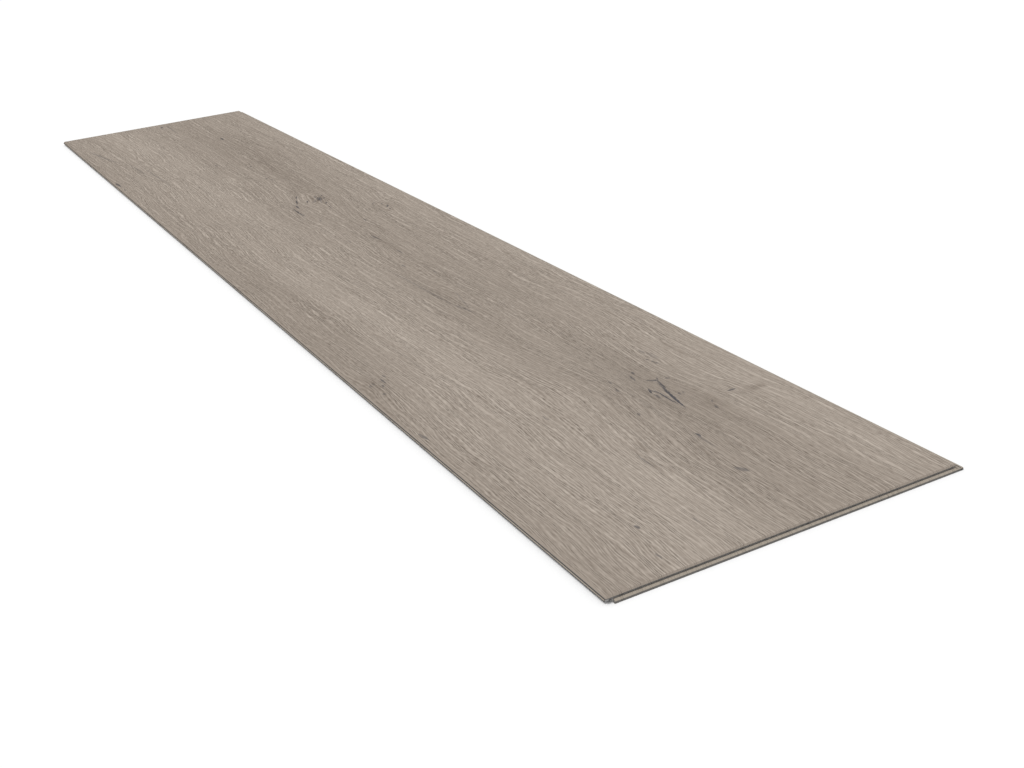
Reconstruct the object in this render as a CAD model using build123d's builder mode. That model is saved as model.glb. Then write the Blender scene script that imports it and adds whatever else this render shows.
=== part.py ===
from build123d import *
import os
from math import radians, tan

# One click-lock vinyl floor plank, lying on its underside, in millimetres.
# X runs along the plank and Y across it, and Z points up out of the printed face.
# The origin is the middle of the covered face, taken down to the underside.
# The -X end and the -Y side carry the groove with its lower lip, and the +X end and
# the +Y side carry the tongue, so that like planks lock together on all four edges.

# Covered face and board
face_length = 1210.0
face_width = 220.0
board_thickness = 4.0
face_bevel = 0.8  # leg of the 45 degree bevel round the face

# Clearances between a tongue edge and the groove edge it locks into
fit_gap = 0.05  # between mating faces
nose_gap = 0.15  # past the nose of the tongue
crest_gap = 0.2  # over the locking bead
tip_gap = 0.25  # past the end of the lower lip

# Roundings and slopes of the cutters
bead_angle = 55.0  # degrees, inner flank of the locking bead, from level
tip_radius = 0.15
groove_radius = 0.2
nose_radius = 0.25

# Long sides: half-height tongue, wide lower lip with its bead near the tip
long_upper_wall = 0.95  # upright wall between bevel and groove
long_floor_height = 1.3
long_groove_depth = 0.75
long_nose_slope = 0.4
long_lip_reach = 3.7
long_bead_height = 1.85
long_bead_crest = 0.8
long_bead_setback = 0.5  # from the crest out to the lip's tip
long_bead_radius = 0.3
long_tip_height = 1.4

# Short ends: high tongue, narrow lower lip that falls away from its bead
short_upper_wall = 0.5
short_floor_height = 1.85
short_groove_depth = 1.0
short_nose_slope = 0.3
short_lip_reach = 1.5
short_bead_height = 2.0
short_bead_crest = 0.3
short_bead_setback = 0.8
short_bead_radius = 0.15
short_tip_height = 1.2

wall_foot = board_thickness - face_bevel
long_groove_top = wall_foot - long_upper_wall
short_groove_top = wall_foot - short_upper_wall
long_recess = long_lip_reach + tip_gap
bead_slope = tan(radians(bead_angle))

# Each edge is a list of corners (distance out from the closing wall, height, radius),
# read from the printed face down to the underside.


def groove_edge(groove_top, floor, depth, reach, bead_height, crest, setback, bead_radius, tip_height):
    crest_outer = reach - setback
    crest_inner = crest_outer - crest
    bead_foot = crest_inner - (bead_height - floor) / bead_slope
    return [
        (-face_bevel, board_thickness, 0),
        (0, wall_foot, 0),
        (0, groove_top, 0),
        (-depth, groove_top, groove_radius),
        (-depth, floor, groove_radius),
        (bead_foot, floor, bead_radius),
        (crest_inner, bead_height, bead_radius),
        (crest_outer, bead_height, bead_radius),
        (reach, tip_height, tip_radius),
        (reach, 0, 0),
    ]


def tongue_edge(groove_top, floor, depth, reach, bead_height, crest, setback, bead_radius, nose_slope):
    tongue_reach = depth - nose_gap
    tongue_top = groove_top - fit_gap
    tongue_bottom = floor + fit_gap
    notch_top = bead_height + crest_gap
    flank_top = reach - setback - crest - fit_gap
    flank_notch = flank_top + (notch_top - bead_height) / bead_slope
    flank_foot = flank_top - (bead_height - tongue_bottom) / bead_slope
    return [
        (-face_bevel, board_thickness, 0),
        (0, wall_foot, 0),
        (0, tongue_top, 0),
        (tongue_reach, tongue_top, nose_radius),
        (tongue_reach, tongue_bottom + nose_slope, 0),
        (tongue_reach - nose_slope, tongue_bottom, nose_radius),
        (-flank_foot, tongue_bottom, bead_radius),
        (-flank_notch, notch_top, groove_radius),
        (-reach - tip_gap, notch_top, groove_radius),
        (-reach - tip_gap, 0, 0),
    ]


def board_section(span, groove_corners, tongue_corners):
    """Corners of a board's section, with its groove edge at the low end of the span."""
    corners = [(span / 2 + out, height, radius) for out, height, radius in tongue_corners]
    corners += [(-span / 2 - out, height, radius) for out, height, radius in reversed(groove_corners)]
    points = [(across, height) for across, height, _ in corners]
    radii = [radius for _, _, radius in corners]
    return points, radii


long_profile = (
    long_groove_top, long_floor_height, long_groove_depth, long_lip_reach,
    long_bead_height, long_bead_crest, long_bead_setback, long_bead_radius,
)
short_profile = (
    short_groove_top, short_floor_height, short_groove_depth, short_lip_reach,
    short_bead_height, short_bead_crest, short_bead_setback, short_bead_radius,
)

long_points, long_radii = board_section(
    face_width,
    groove_edge(*long_profile, long_tip_height),
    tongue_edge(*long_profile, long_nose_slope),
)
short_points, short_radii = board_section(
    face_length,
    groove_edge(*short_profile, short_tip_height),
    tongue_edge(*short_profile, short_nose_slope),
)

with BuildPart() as plank:
    # Long sides, milled first: the section across the board, run along its length
    with BuildSketch(Plane.YZ):
        with BuildLine():
            FilletPolyline(*long_points, radius=long_radii, close=True)
        make_face()
    extrude(amount=face_length / 2 + short_lip_reach, both=True)

    # Short ends, milled next: the section along the board, run across its width
    with BuildSketch(Plane.XZ):
        with BuildLine():
            FilletPolyline(*short_points, radius=short_radii, close=True)
        make_face()
    extrude(amount=face_width / 2 + long_lip_reach, both=True, mode=Mode.INTERSECT)

    # Where the grooved end meets the tongue side, the narrow lip and the tongue's end
    # are cut back under the face, so that the lip of the next row can pass
    with BuildSketch(Plane.XY):
        with Locations((-face_length / 2 + short_groove_depth, face_width / 2 - long_recess)):
            Rectangle(
                short_groove_depth + short_lip_reach,
                long_recess + long_groove_depth,
                align=(Align.MAX, Align.MIN),
            )
    extrude(amount=short_groove_top, mode=Mode.SUBTRACT)

plank.part.label = "plank"

os.makedirs("parts", exist_ok=True)
export_step(plank.part, "parts/plank.step")
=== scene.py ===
import math

import bmesh
import bpy
import numpy as np
from mathutils import Matrix, Vector


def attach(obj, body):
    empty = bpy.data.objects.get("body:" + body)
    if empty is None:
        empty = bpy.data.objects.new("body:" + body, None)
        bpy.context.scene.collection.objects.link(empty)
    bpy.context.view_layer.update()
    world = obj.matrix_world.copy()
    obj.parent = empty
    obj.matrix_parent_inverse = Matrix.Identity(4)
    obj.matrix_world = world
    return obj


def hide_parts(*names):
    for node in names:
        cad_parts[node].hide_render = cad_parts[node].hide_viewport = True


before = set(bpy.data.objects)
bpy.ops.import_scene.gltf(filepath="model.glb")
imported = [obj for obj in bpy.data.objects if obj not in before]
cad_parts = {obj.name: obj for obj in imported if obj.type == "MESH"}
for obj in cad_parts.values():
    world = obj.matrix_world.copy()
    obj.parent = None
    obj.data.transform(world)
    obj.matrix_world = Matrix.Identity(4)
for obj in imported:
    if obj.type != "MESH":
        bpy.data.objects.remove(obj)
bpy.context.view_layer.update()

mm = 0.001  # the frame is in metres, most sizes below are in mm
tiny = 0.001 * mm  # vertices nearer than this are one


def srgb(red, green, blue):
    # a picture colour, 0 to 255, as the linear colour a shader socket takes
    share = [channel / 255 for channel in (red, green, blue)]
    linear = [c / 12.92 if c < 0.04045 else ((c + 0.055) / 1.055) ** 2.4 for c in share]
    return (*linear, 1.0)


def addObject(name, data):
    made = bpy.data.objects.new(name, data)
    bpy.context.scene.collection.objects.link(made)
    return made


# The view, from above the grooved short end and the tongue side

view = {
    "eye": (-1053.07, 376.80, 345.47),
    "lookAt": (-363.00, 26.28, 3.2),
    "rollDegrees": -4.715,
    "lens": 46.812,
}


def makeCamera():
    # stands at eye, looks at lookAt, and leans by the roll about its own line of sight
    camera = addObject("camera", bpy.data.cameras.new("camera"))
    eye = Vector(view["eye"]) * mm
    gaze = Vector(view["lookAt"]) * mm - eye
    level = gaze.to_track_quat("-Z", "Y").to_matrix().to_4x4()
    roll = Matrix.Rotation(math.radians(view["rollDegrees"]), 4, "Z")
    camera.matrix_world = Matrix.Translation(eye) @ level @ roll
    camera.data.lens = view["lens"]
    camera.data.sensor_width = 36
    camera.data.clip_start = 0.01
    camera.data.clip_end = 100
    bpy.context.scene.camera = camera
    bpy.context.scene.view_settings.view_transform = "Standard"


makeCamera()
print("camera placed")


# Shader maths: a wire is one output socket, and arithmetic on wires adds Math nodes


class Wire:
    def __init__(self, graph, socket):
        self.graph = graph
        self.socket = socket

    def combine(self, operation, first, second=0.0):
        return self.graph.node("ShaderNodeMath", {"operation": operation}, {0: first, 1: second})

    def __add__(self, other):
        return self.combine("ADD", self, other)

    def __sub__(self, other):
        return self.combine("SUBTRACT", self, other)

    def __rsub__(self, other):
        return self.combine("SUBTRACT", other, self)

    def __mul__(self, other):
        return self.combine("MULTIPLY", self, other)

    def __truediv__(self, other):
        return self.combine("DIVIDE", self, other)

    def __rtruediv__(self, other):
        return self.combine("DIVIDE", other, self)

    def __abs__(self):
        return self.combine("ABSOLUTE", self)

    __radd__ = __add__
    __rmul__ = __mul__

    def sine(self):
        return self.combine("SINE", self)

    def root(self):
        return self.combine("SQRT", self)

    def atLeast(self, other):
        return self.combine("MAXIMUM", self, other)

    def rise(self, low, high):
        # climbs smoothly from 0 at low to 1 at high
        settings = {"interpolation_type": "SMOOTHSTEP"}
        inputs = {"Value": self, "From Min": low, "From Max": high}
        return self.graph.node("ShaderNodeMapRange", settings, inputs)


class Graph:
    # the node tree of one material or of the world
    def __init__(self, owner):
        owner.use_nodes = True
        self.tree = owner.node_tree
        self.tree.nodes.clear()

    def node(self, kind, settings=None, inputs=None, output=0):
        # adds a node: its settings first, then values or wires on its sockets
        made = self.tree.nodes.new(kind)
        for name, value in (settings or {}).items():
            if name == "stops":
                self.setStops(made.color_ramp, value)
            else:
                setattr(made, name, value)
        for name, value in (inputs or {}).items():
            if isinstance(value, Wire):
                self.tree.links.new(value.socket, made.inputs[name])
            else:
                made.inputs[name].default_value = value
        return Wire(self, made.outputs[output]) if made.outputs else made

    def setStops(self, ramp, stops):
        while len(ramp.elements) < len(stops):
            ramp.elements.new(0.5)
        for element, (position, colour) in zip(ramp.elements, stops):
            element.position = position
            element.color = colour

    def parts(self, vector):
        return [self.node("ShaderNodeSeparateXYZ", {}, {0: vector}, axis) for axis in range(3)]

    def noise(self, along, across, length, width, seed, detail=0.0):
        # noise drawn out into streaks of about this length and width, round 0
        parts = {0: along / length, 1: across / width, 2: seed}
        place = self.node("ShaderNodeCombineXYZ", {}, parts)
        inputs = {"Vector": place, "Scale": 1.0, "Detail": detail}
        return self.node("ShaderNodeTexNoise", {}, inputs) - 0.5

    def ridges(self, along, across, length, width, seed, wander):
        # rows of lines this far apart: the sine of a phase that wanders with drawn out noise
        phase = across * (2 * math.pi / width)
        phase = phase + self.noise(along, across, length, width * 2, seed) * wander
        return phase.sine()

    def blend(self, share, first, second):
        settings = {"data_type": "RGBA", "clamp_factor": True}
        return self.node("ShaderNodeMix", settings, {0: share, 6: first, 7: second}, 2)

    def seenDirectly(self):
        # 1 for the camera and for what mirrors or glass show of the background
        path = self.node("ShaderNodeLightPath")
        glossy = self.node("ShaderNodeLightPath", output="Is Glossy Ray")
        clear = self.node("ShaderNodeLightPath", output="Is Transmission Ray")
        return path.atLeast(glossy).atLeast(clear)


def sine(value):
    return value.sine() if isinstance(value, Wire) else np.sin(value)


# The studio: one soft lamp high on the tongue side, an even white sky and a pale floor.
# Lamp and sky together light a level face by 1, so that colours come out as they are written.

studio = {
    "lampFrom": (-0.04, 0.40, 1.0),
    "lampSoftness": 24,  # degrees across
    "lampShare": 0.46,  # of the light on a level face, the sky gives the rest
    "floorHalfWidth": 8.0,  # metres
    "floorShade": 0.86,  # what it throws back on the plank
    "floorSeen": 1.03,  # how pale it looks to the camera
}


def makeStudio():
    lampFrom = Vector(studio["lampFrom"]).normalized()
    lamp = addObject("lamp", bpy.data.lights.new("lamp", "SUN"))
    lamp.rotation_euler = lampFrom.to_track_quat("Z", "Y").to_euler()
    lamp.data.energy = studio["lampShare"] * math.pi / lampFrom.z
    lamp.data.angle = math.radians(studio["lampSoftness"])

    world = bpy.data.worlds.new("sky")
    bpy.context.scene.world = world
    sky = Graph(world)
    skyShare = 1 - studio["lampShare"]
    strength = skyShare + sky.seenDirectly() * (1 - skyShare)
    light = sky.node("ShaderNodeBackground", {}, {"Color": (1, 1, 1, 1), "Strength": strength})
    sky.node("ShaderNodeOutputWorld", {}, {"Surface": light})

    half = studio["floorHalfWidth"]
    corners = np.array([(-half, -half, 0), (half, -half, 0), (half, half, 0), (-half, half, 0)])
    mesh = bpy.data.meshes.new("floor")
    mesh.from_pydata(corners, [], [(0, 1, 2, 3)])
    material = bpy.data.materials.new("floor")
    paint = Graph(material)
    shade = [(*[studio[name]] * 3, 1) for name in ("floorShade", "floorSeen")]
    colour = paint.blend(paint.seenDirectly(), *shade)
    surface = paint.node("ShaderNodeBsdfDiffuse", {}, {"Color": colour})
    paint.node("ShaderNodeOutputMaterial", {}, {"Surface": surface})
    mesh.materials.append(material)
    addObject("floor", mesh)


makeStudio()
print("studio lit")


# The grain: places are mm along from the grooved short end, and mm across from the tongue side

waves = [
    {"height": 3.0, "length": 760, "slant": 0.004, "start": 2.6},
    {"height": 1.1, "length": 215, "slant": 0.030, "start": 2.1},
    {"height": 0.4, "length": 74, "slant": 0.070, "start": 4.4},
    {"height": 0.12, "length": 23, "slant": 0.190, "start": 1.0},
]
swellings = [
    {"along": 205, "across": 146, "reach": 85, "width": 42, "push": -0.85},
    {"along": 166, "across": 150, "reach": 30, "width": 8, "push": 0.80},
    {"along": 288, "across": 4, "reach": 40, "width": 14, "push": 0.45},
    {"along": 468, "across": 131, "reach": 85, "width": 13, "push": 0.60},
    {"along": 738, "across": 142, "reach": 46, "width": 19, "push": 0.80},
    {"along": 674, "across": 184, "reach": 22, "width": 9, "push": 0.70},
    {"along": 868, "across": 102, "reach": 30, "width": 11, "push": 0.55},
    {"along": 1190, "across": 48, "reach": 150, "width": 46, "push": 0.40},
]


def grainLine(along, across):
    # the grain line through a place: its distance across, waved by slanting sines and
    # pushed off each swelling by push / (1 + r squared) squared, r in reaches and widths.
    # It takes arrays for the pressed surface and wires for the print alike.
    line = across
    for wave in waves:
        phase = along * (2 * math.pi / wave["length"]) + across * wave["slant"] + wave["start"]
        line = line + sine(phase) * wave["height"]
    for swelling in swellings:
        forward = (along - swelling["along"]) / swelling["reach"]
        beside = across - swelling["across"]
        aside = beside / swelling["width"]
        fade = 1 + forward * forward + aside * aside
        line = line - beside * swelling["push"] / (fade * fade)
    return line


# The plank: the CAD solid with its printed face pressed into a grain

plank = {
    "faceLength": 1210,
    "faceWidth": 220,
    "faceHeight": 4.0,
    "bevel": 0.8,
    "cellsAlong": 244,
    "cellsAcross": 400,
    "pressDepth": 0.20,
    "edgeFade": 1.5,  # the relief dies out this near the bevel
    "smoothBelow": 35,  # degrees between faces
    "seed": 7,
}


def streakField(generator, length, width):
    # white noise on an even grid, smoothed on its spectrum by a bell curve of this length
    # and width, scaled to a spread of 1, and read between its points in straight lines
    stepAlong, stepAcross = 2.5, 0.25
    shape = (512, 1024)
    spectrum = np.fft.fft2(generator.standard_normal(shape))
    cyclesAlong = np.fft.fftfreq(shape[0], stepAlong)[:, None]
    cyclesAcross = np.fft.fftfreq(shape[1], stepAcross)[None, :]
    spread = (cyclesAlong * length) ** 2 + (cyclesAcross * width) ** 2
    field = np.fft.ifft2(spectrum * np.exp(-2 * math.pi**2 * spread)).real
    field /= field.std()

    def sample(along, across):
        row, column = along / stepAlong, across / stepAcross
        low, left = np.floor(row).astype(int), np.floor(column).astype(int)
        rowShare, columnShare = row - low, column - left
        low, left = low % shape[0], left % shape[1]
        high, right = (low + 1) % shape[0], (left + 1) % shape[1]
        lower = field[low, left] * (1 - columnShare) + field[low, right] * columnShare
        upper = field[high, left] * (1 - columnShare) + field[high, right] * columnShare
        return lower * (1 - rowShare) + upper * rowShare

    return sample


def pressedGrain(along, across):
    # how deep the face is pressed, 0 to 1: long shallow grooves and short deeper pores
    # that both follow the grain lines
    generator = np.random.default_rng(plank["seed"])
    line = grainLine(along, across)
    grooves = streakField(generator, 18, 0.55)(along, line)
    pores = streakField(generator, 4, 0.40)(along, line)
    return np.clip(0.40 + 0.22 * grooves, 0, 1) * 0.65 + np.clip(0.4 * pores - 0.35, 0, 1) * 0.35


def faceSteps(span, cells):
    # the bevel's foot, even steps between the two arrises, the other bevel's foot
    arris = span / 2 - plank["bevel"]
    return np.concatenate([[-span / 2], np.linspace(-arris, arris, cells - 1), [span / 2]])


def makeFace(x, y):
    # z over the grid of x and y: the face height, less the pressed grain where it has come
    # in from the arris, less the distance past the arris on the bevels, which fall at 45 degrees
    x, y = np.meshgrid(x, y, indexing="ij")
    length, width, bevel = plank["faceLength"], plank["faceWidth"], plank["bevel"]
    inside = np.minimum(length / 2 - bevel - abs(x), width / 2 - bevel - abs(y))
    fade = np.clip(inside / plank["edgeFade"], 0, 1)
    pressed = pressedGrain(x + length / 2, width / 2 - y) * fade
    z = plank["faceHeight"] - plank["pressDepth"] * pressed + np.minimum(inside, 0)
    index = np.arange(x.size).reshape(x.shape)
    quads = np.stack([index[:-1, :-1], index[1:, :-1], index[1:, 1:], index[:-1, 1:]], -1)
    quads[0, -1] = np.roll(quads[0, -1], 1)  # turned, so that these two mitres split
    quads[-1, 0] = np.roll(quads[-1, 0], 1)  # from corner to corner as the others do
    mesh = bpy.data.meshes.new("face")
    mesh.from_pydata(np.stack([x, y, z], -1).reshape(-1, 3) * mm, [], quads.reshape(-1, 4))
    return mesh


def alignRim(mesh, x, y):
    # the points that cut the rim move onto the grid's steps, in their order along each side
    places = np.empty(len(mesh.vertices) * 3)
    mesh.vertices.foreach_get("co", places)
    places = places.reshape(-1, 3)
    onRim = abs(places[:, 2] - (plank["faceHeight"] - plank["bevel"]) * mm) < tiny
    for axis, steps, offset in ((0, x, y[0]), (0, x, y[-1]), (1, y, x[0]), (1, y, x[-1])):
        side = np.flatnonzero(onRim & (abs(places[:, 1 - axis] - offset * mm) < tiny))
        places[side[np.argsort(places[side, axis])], axis] = steps * mm
    mesh.vertices.foreach_set("co", places.ravel())


def makePlank():
    # the solid without its flat lid, whose rim is cut to the grid, and the pressed face on it
    x = faceSteps(plank["faceLength"], plank["cellsAlong"])
    y = faceSteps(plank["faceWidth"], plank["cellsAcross"])
    shell = bmesh.new()
    shell.from_mesh(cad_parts["plank"].data)
    bmesh.ops.remove_doubles(shell, verts=shell.verts, dist=tiny)
    foot = (plank["faceHeight"] - plank["bevel"]) * mm
    lid = [face for face in shell.faces if min(v.co.z for v in face.verts) > foot - tiny]
    bmesh.ops.delete(shell, geom=lid, context="FACES")
    for edge in [edge for edge in shell.edges if edge.is_boundary]:
        steps = x if abs(edge.verts[0].co.x - edge.verts[1].co.x) > mm else y
        bmesh.ops.subdivide_edges(shell, edges=[edge], cuts=len(steps) - 2)
    mesh = bpy.data.meshes.new("pressed_plank")
    shell.to_mesh(mesh)
    alignRim(mesh, x, y)
    face = makeFace(x, y)
    shell.clear()
    shell.from_mesh(mesh)
    shell.from_mesh(face)
    bpy.data.meshes.remove(face)
    bmesh.ops.remove_doubles(shell, verts=shell.verts, dist=tiny)
    openEdges = sum(edge.is_boundary or not edge.is_manifold for edge in shell.edges)
    shell.to_mesh(mesh)
    shell.free()
    print("plank pressed,", len(mesh.loop_triangles), "triangles,", openEdges, "open edges")
    return mesh


def finishPlank(mesh):
    # smooth within the face and each milled round, sharp at the arrises, with the depth of
    # the pressed grain kept on the vertices for the print
    for name in ("custom_normal", "sharp_edge", "sharp_face"):
        if name in mesh.attributes:
            mesh.attributes.remove(mesh.attributes[name])
    mesh.shade_smooth()
    mesh.set_sharp_from_angle(angle=math.radians(plank["smoothBelow"]))
    places = np.empty(len(mesh.vertices) * 3)
    mesh.vertices.foreach_get("co", places)
    x, y = places.reshape(-1, 3).T[:2] / mm
    grain = pressedGrain(x + plank["faceLength"] / 2, plank["faceWidth"] / 2 - y)
    depths = mesh.attributes.new("grain", "FLOAT", "POINT")
    depths.data.foreach_set("value", grain.astype(np.float32))
    piece = addObject("pressed_plank", mesh)
    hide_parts("plank")
    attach(piece, "root")
    return piece


# The print: its tone is counted in steps of the 0 to 255 scale round the mean colour

printed = {
    "dark": srgb(121, 110, 100),  # 42 steps below the mean
    "mean": srgb(165, 154, 143),
    "light": srgb(207, 196, 184),  # 42 steps above it
    "toneReach": 42,
    "crack": srgb(85, 84, 88),
    "bevel": srgb(160, 149, 138),
    # painted light: a tan lighter than the print's mean on the level milled faces
    "milled": srgb(174, 164, 151),
    # painted shade: the long-side walls are a darker grey than the end walls below
    "wall": srgb(100, 98, 97),
    "endWall": srgb(124, 121, 118),
    # painted light: the groove and the recess are pale to lift their shade
    "groove": srgb(190, 187, 184),
    "underside": srgb(120, 118, 117),
    "roughness": 0.6,
    "gloss": 0.0,
    "broadWaves": {"width": 168, "start": -0.75, "steps": 4.2},
    "broadStreaks": {"length": 260, "width": 20, "steps": 14},
    "speckles": {"length": 5, "width": 0.8, "steps": 37},
    "pores": {"length": 6, "width": 0.9, "steps": 12},
    "pressedSteps": 5,
    "lineWander": 18,  # radians
    "embossDepth": 0.009,
}

# Rows of fine lines: length of their course, distance apart, seed, steps of tone
lineRows = [
    (90, 5.5, 3.3, 1.1),
    (60, 2.8, 6.1, 2.6),
    (45, 1.6, 7.3, 11.4),
]

# Broad tones: along, across, half length, half width, steps of tone
blotches = [
    (300, 60, 150, 30, 3),
    (430, 20, 260, 26, -6),
    (290, 8, 34, 14, -8),
    (140, 167, 24, 10, -9),
    (29, 147, 9, 8, -9),
    (190, 160, 110, 24, -4),
    (430, 122, 190, 18, -5),
    (560, 140, 60, 6, -8),
    (70, 85, 110, 26, 4),
    (70, 204, 120, 18, 4),
    (850, 152, 130, 13, -8),
    (1000, 160, 150, 20, -5),
    (870, 102, 32, 11, 7),
    (1130, 64, 120, 20, 5),
    (705, 188, 12, 5, -6),
    (742, 146, 26, 15, -12),
    (142.5, 200, 5.5, 13, -21),
    (674, 184, 26, 13, -9),
    (780, 143, 48, 16, -7),
]

# Cracks and dashes: along, across, half length, half width, tilt, bow, depth from 0 to 1
cracks = [
    (162, 151.6, 21, 1.5, 0.19, 0, 1),
    (181, 156.6, 12, 0.9, 0.24, 0, 0.75),
    (180, 155.4, 8, 0.8, 0.14, 0, 0.6),
    (163.5, 148.1, 14, 1.1, 0.01, 0, 0.85),
    (174, 147.6, 7, 0.9, -0.2, 0, 0.7),
    (168, 144.8, 5, 1.1, 0.06, 0, 0.6),
    (177.5, 145.6, 5, 1.3, 0.25, 0, 0.9),
    (200.5, 147.6, 6.5, 1.2, 0.18, 0, 0.66),
    (207, 152.3, 3.4, 1.2, 0.2, 0, 0.6),
    (163.5, 157.6, 2.6, 1, 0.1, 0, 0.5),
    (163.5, 160.4, 2.6, 1, 0.1, 0, 0.4),
    (211, 173.3, 2, 1.1, -0.1, 0, 0.55),
    (214.5, 172.8, 2, 1.1, -0.1, 0, 0.6),
    (219, 171.6, 1.8, 1.1, -0.2, 0, 0.6),
    (233, 176.3, 5.2, 1.35, 0.05, 0, 0.39),
    (190.5, 130.1, 4.6, 1, 0.08, 0, 0.55),
    (203.5, 133, 3, 1, 0.05, 0, 0.5),
    (154, 121.5, 2.8, 1, 0.2, 0, 0.45),
    (110.5, 133.2, 3.8, 0.95, 0.08, 0, 0.85),
    (142.5, 166.5, 2.6, 1, 0.6, 0, 0.4),
    (45, 47.5, 3, 1.49, 0, 0, 0.66),
    (711, 114.4, 20.7, 0.94, 0.01, 0.9, 0.8),
    (730, 120.3, 10.3, 0.94, 0.1, 0, 0.88),
    (746, 125.6, 9, 0.95, 0.29, 0, 0.85),
    (762, 131.2, 7, 0.9, 0.33, 0, 0.75),
    (730, 144.4, 5.5, 1.1, 0.2, 0, 0.6),
    (751.5, 153, 3.4, 1, 0.2, 0, 0.6),
    (740.5, 134.3, 4, 1.2, 0.25, 0, 1),
    (724, 147, 3.2, 1.62, 0.3, 0, 0.72),
    (709, 145, 5.8, 0.94, 0.1, 0, 0.5),
    (671.5, 120.8, 4.6, 0.94, 0.1, 0, 0.55),
    (645, 153.7, 5.2, 0.94, 0.1, 0, 0.55),
    (672, 187.8, 4.4, 1.4, 0.5, 0, 0.85),
    (661.5, 185.8, 3.2, 1.2, 0.35, 0, 0.7),
    (682.5, 186.6, 3.2, 1.2, 0.25, 0, 0.6),
    (846.7, 135.9, 4, 1.08, 0.1, 0, 0.55),
    (854.5, 132.5, 4, 1.08, 0.1, 0, 0.55),
    (922, 3.5, 5.2, 1.35, 0, 0, 0.55),
    (949.5, 109.2, 6.9, 0.94, 0, 0, 0.55),
    (916, 136.5, 4.6, 1.08, 0, 0, 0.55),
    (1191, 114.6, 4.6, 2.16, 0.1, 0, 0.82),
    (1172, 121.3, 41.4, 1.08, 0.03, 0, 0.44),
    (381, 120.8, 16.1, 1.08, -0.17, 0, 0.5),
    (502.5, 126.7, 4.6, 1.08, 0, 0, 0.5),
    (588, 139.6, 11.5, 1.08, -0.12, 0, 0.61),
    (538, 140, 9.2, 1.08, 0, 0, 0.44),
    (297.5, 18.4, 6.5, 1, 0.02, 0, 0.65),
    (304.5, 22.2, 3, 1, 0.05, 0, 0.5),
    (290.5, 15.4, 3, 0.9, 0.25, 0, 0.5),
    (295, 8.6, 3, 1, 0.05, 0, 0.5),
    (296.5, 11.4, 2.4, 1.1, 0, 0, 0.45),
    (206, 4.5, 8, 1.49, -0.1, 0, 0.55),
    (1101, 18.8, 5.8, 1.22, -0.15, 0, 0.5),
    (189, 156.6, 1.8, 2.4, -0.4, 0, 0.75),
    (191, 154, 2, 1.4, -0.9, 0, 0.6),
    (190, 159.4, 2.4, 1, 0.5, 0, 0.65),
    (187, 165, 1.8, 1.8, -0.4, 0, 0.6),
    (148.5, 185.8, 1.3, 4.4, 0, 0, 0.75),
    (222, 178, 10, 2.6, 0, 0, 0.25),
    (63, 127, 5.5, 3, -0.4, 0, 0.5),
    (742.5, 147, 8.5, 4.2, 0.2, 0, 0.55),
    (742.5, 147.4, 4.5, 1.1, 0.35, 0, 0.95),
    (737, 147, 5, 1.1, 0.5, 0, 0.6),
    (735.5, 139.4, 2, 3, 0.3, 0, 0.5),
    (738.5, 141.4, 3, 1.1, 0.3, 0, 0.6),
    (751, 146, 4.6, 1.1, 0.22, 0, 0.6),
    (741.5, 151.6, 4, 1.1, 0.4, 0, 0.6),
    (1070, 153.4, 8.5, 1.6, 0.05, 0, 0.8),
    (948, 2.6, 12, 1.7, -0.05, 0, 0.85),
    (16, 40.5, 4, 0.9, 0, 0, 0.5),
    (184, 74.5, 5, 0.9, 0, 0, 0.4),
    (33, 75.3, 4.5, 0.9, 0, 0, 0.4),
    (102, 91, 12, 1, 0.04, 0, 0.4),
    (472, 140.3, 6, 1, 0.1, 0, 0.35),
    (594, 117.3, 6, 1, 0, 0, 0.4),
    (950, 44.3, 70, 1, -0.02, 0, 0.3),
    (992, 36.5, 45, 1.6, -0.05, 0, 0.28),
    (1085, 19, 60, 2.2, -0.17, 3, 0.32),
    (440, 115.6, 75, 1, -0.045, 0, 0.34),
    (400, 128, 26, 1, 0.2, 0, 0.28),
    (278, 10.8, 1.6, 1.8, 0, 0, 0.55),
    (690, 181, 5, 1.3, 0.9, 0, 0.4),
    (134.5, 163.8, 3.4, 1.2, 0.12, 0, 0.6),
    (104, 132, 16, 1, 0.02, 0, 0.35),
]

# Ring marks: along, across, half length, half width, rings, steps of tone
rings = [
    (287, 6, 28, 15, 3, -7),
    (674, 184, 24, 12, 2, -14),
    (756, 141, 20, 12, 2, 6),
]


def addBlotches(along, across, tone):
    # adds (1 - r squared) squared of each blotch, r in half lengths and widths
    for atAlong, atAcross, halfLength, halfWidth, steps in blotches:
        forward = (along - atAlong) / halfLength
        aside = (across - atAcross) / halfWidth
        inside = (1 - forward * forward - aside * aside).atLeast(0)
        tone = tone + inside * inside * steps
    return tone


def addRings(along, across, tone):
    # adds a sine of r, in half lengths and widths, made uneven, broken by noise and dying
    # out at r = 1
    noise = along.graph.noise
    for atAlong, atAcross, halfLength, halfWidth, count, steps in rings:
        forward = (along - atAlong) / halfLength
        aside = (across - atAcross) / halfWidth
        squared = forward * forward + aside * aside
        uneven = noise(along, across, 12, 5, 9.4, 1) * 0.6
        wave = sine((squared.root() + uneven) * (2 * math.pi * count)) * (1 - squared).atLeast(0)
        broken = noise(along, across, 14, 6, 5.2) * 3 + 0.6
        tone = tone + wave * broken * steps
    return tone


def crackDepth(along, across):
    # the deepest of the pointed strokes |v| < 1 - u squared, u along in half lengths and
    # v across in half widths from the stroke's tilted, bowed line. The renderer has room
    # for just under a hundred strokes in one material, and turns it black beyond that
    depth = None
    for atAlong, atAcross, halfLength, halfWidth, tilt, bow, strength in cracks:
        forward = along - atAlong
        reach = forward / halfLength
        reach = reach * reach
        aside = across - atAcross - forward * tilt
        if bow:
            aside = aside - reach * bow
        stroke = (1 - reach - abs(aside) / halfWidth).rise(0, 0.6) * strength
        depth = stroke if depth is None else depth.atLeast(stroke)
    return depth


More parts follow.
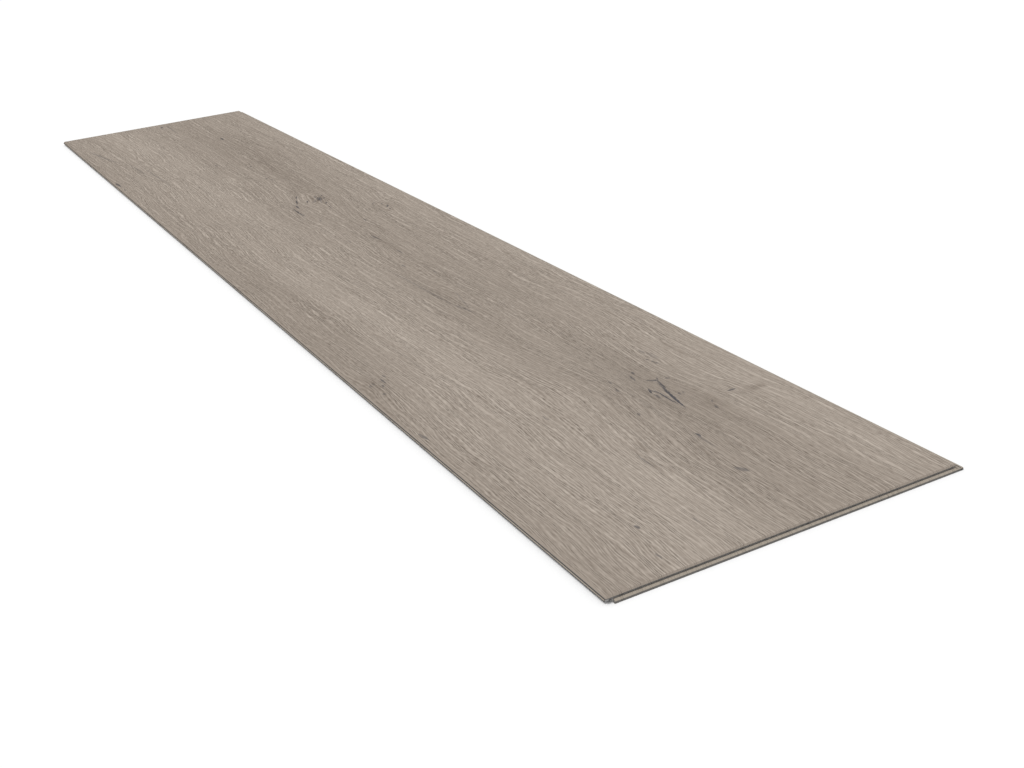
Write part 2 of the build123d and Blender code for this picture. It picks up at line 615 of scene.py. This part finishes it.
def broadTone(graph, along, across, ragged, line):
    # a slow sine from side to side, the blotches, the rings and drawn out noise
    waves, streaks = printed["broadWaves"], printed["broadStreaks"]
    tone = sine(across * (2 * math.pi / waves["width"]) + waves["start"]) * waves["steps"]
    tone = addBlotches(along, ragged, tone)
    tone = addRings(along, ragged, tone)
    cloud = graph.noise(along, line, streaks["length"], streaks["width"], 1.7, 1)
    return tone + cloud * streaks["steps"]


def fineTone(graph, along, line):
    # rows of lines and speckles, less dark pores, crisper in some parts and to the far end
    speckles, pores = printed["speckles"], printed["pores"]
    fine = 0
    for length, width, seed, steps in lineRows:
        row = graph.ridges(along, line, length, width, seed, printed["lineWander"])
        fine = row * steps + fine
    noise = graph.noise(along, line, speckles["length"], speckles["width"], 9.9)
    fine = fine + noise * speckles["steps"]
    noise = graph.noise(along, line, pores["length"], pores["width"], 2.2)
    fine = fine - noise.rise(0.14, 0.3) * pores["steps"]
    crisp = graph.noise(along, line, 90, 9, 6.6).rise(-0.12, 0.16) * 0.4
    return fine * (crisp + along * 0.0002 + 0.78)


def printMaterial():
    material = bpy.data.materials.new("printed_vinyl")
    graph = Graph(material)
    place = graph.node("ShaderNodeTexCoord", output="Object")
    x, y, z = [part / mm for part in graph.parts(place)]
    along = x + plank["faceLength"] / 2
    across = plank["faceWidth"] / 2 - y
    line = grainLine(along, across)
    grain = graph.node("ShaderNodeAttribute", {"attribute_name": "grain"}, output="Fac")

    ragged = across + graph.noise(along, across, 4, 2, 8.1, 2) * 2.2
    fine = fineTone(graph, along, line)
    tone = broadTone(graph, along, across, ragged, line) + fine
    tone = tone - (grain - 0.3) * printed["pressedSteps"]
    share = tone / (2 * printed["toneReach"]) + 0.5
    stops = [(0, printed["dark"]), (0.5, printed["mean"]), (1, printed["light"])]
    face = graph.node("ShaderNodeValToRGB", {"stops": stops}, {0: share})
    uneven = graph.noise(along, across, 3, 0.9, 1.3) * 0.8 + 0.95
    face = graph.blend(crackDepth(along, ragged) * uneven, face, printed["crack"])

    # below the bevel come the milled edges. Painted light makes them tan where they lie nearly
    # level and pale in the
    #     # groove and in the recess inside the closing walls; their walls are grey, darkened by
    #     painted shade on the long sides
    outside = (abs(x) - plank["faceLength"] / 2).atLeast(abs(y) - plank["faceWidth"] / 2)
    facing = graph.parts(graph.node("ShaderNodeNewGeometry", output="True Normal"))[2]
    atEnd = (abs(x) - abs(y) - (plank["faceLength"] - plank["faceWidth"]) / 2).rise(-0.1, 0.1)
    # painted shade: the long-side walls darker than the end walls
    wall = graph.blend(atEnd, printed["wall"], printed["endWall"])
    # faces that look up get the painted light, steep ones the walls' grey and painted shade
    edge = graph.blend(facing.rise(0.6, 0.68), wall, printed["milled"])
    # painted light in the groove and the recess
    edge = graph.blend(outside.rise(-0.3, -0.1), printed["groove"], edge)
    edge = graph.blend(facing.rise(-0.8, -0.4), printed["underside"], edge)
    colour = graph.blend((outside + plank["bevel"]).rise(0, 0.1), face, printed["bevel"])
    depth = plank["faceHeight"] - plank["bevel"] - z
    colour = graph.blend(depth.rise(-0.02, 0.02), colour, edge)

    # the dark lines of the print are pressed in as well
    relief = {"Strength": 1.0, "Distance": printed["embossDepth"] * mm, "Height": fine}
    bump = graph.node("ShaderNodeBump", {}, relief)
    inputs = {"Base Color": colour, "Roughness": printed["roughness"], "Normal": bump}
    inputs["Specular IOR Level"] = printed["gloss"]
    surface = graph.node("ShaderNodeBsdfPrincipled", {}, inputs)
    graph.node("ShaderNodeOutputMaterial", {}, {"Surface": surface})
    return material


piece = finishPlank(makePlank())
piece.data.materials.clear()
piece.data.materials.append(printMaterial())
print("print laid on the face")
